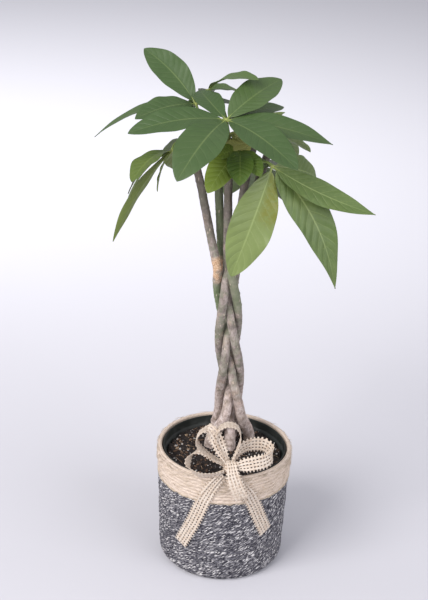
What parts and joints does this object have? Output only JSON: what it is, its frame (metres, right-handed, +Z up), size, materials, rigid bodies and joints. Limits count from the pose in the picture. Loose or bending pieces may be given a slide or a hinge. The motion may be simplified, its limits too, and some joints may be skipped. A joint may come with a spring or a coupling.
{
  "type": "potted money tree",
  "caption": "Braided-trunk money tree with palmate leaves in a plastic grower pot, standing in a two-tone coiled rope basket tied with a jute ribbon bow.",
  "frame": {"origin": "centre of the basket's flat base, on the surface it stands on", "axes": "+Z up along the trunk, -Y to the front, where the bow is tied"},
  "size_m": [0.3225, 0.2549, 0.6374],
  "materials": {
    "grey_rope": "matt two-ply rope, charcoal and off-white",
    "cream_rope": "matt natural jute",
    "pot_plastic": "satin dark green-black plastic",
    "soil": "loose bark and peat mix with white grit",
    "bark": "rough grey-tan bark",
    "leaf": "waxy dark green leaf",
    "young_leaf": "waxy yellow-green leaf",
    "ribbon": "open-weave natural jute ribbon"
  },
  "bodies": {
    "root": {"basket_body": "grey_rope", "basket_band": "cream_rope", "grower_pot": "pot_plastic", "soil": "soil", "stem_1": "bark", "stem_2": "bark", "stem_3": "bark", "stem_4": "bark", "stem_5": "bark", "leaf_1": "leaf", "leaf_2": "leaf", "leaf_3": "leaf", "leaf_4": "young_leaf", "leaf_5": "young_leaf", "leaf_6": "leaf", "leaf_7": "leaf", "leaf_8": "leaf", "leaf_9": "leaf", "ribbon_bow": "ribbon"}
  },
  "joints": []
}
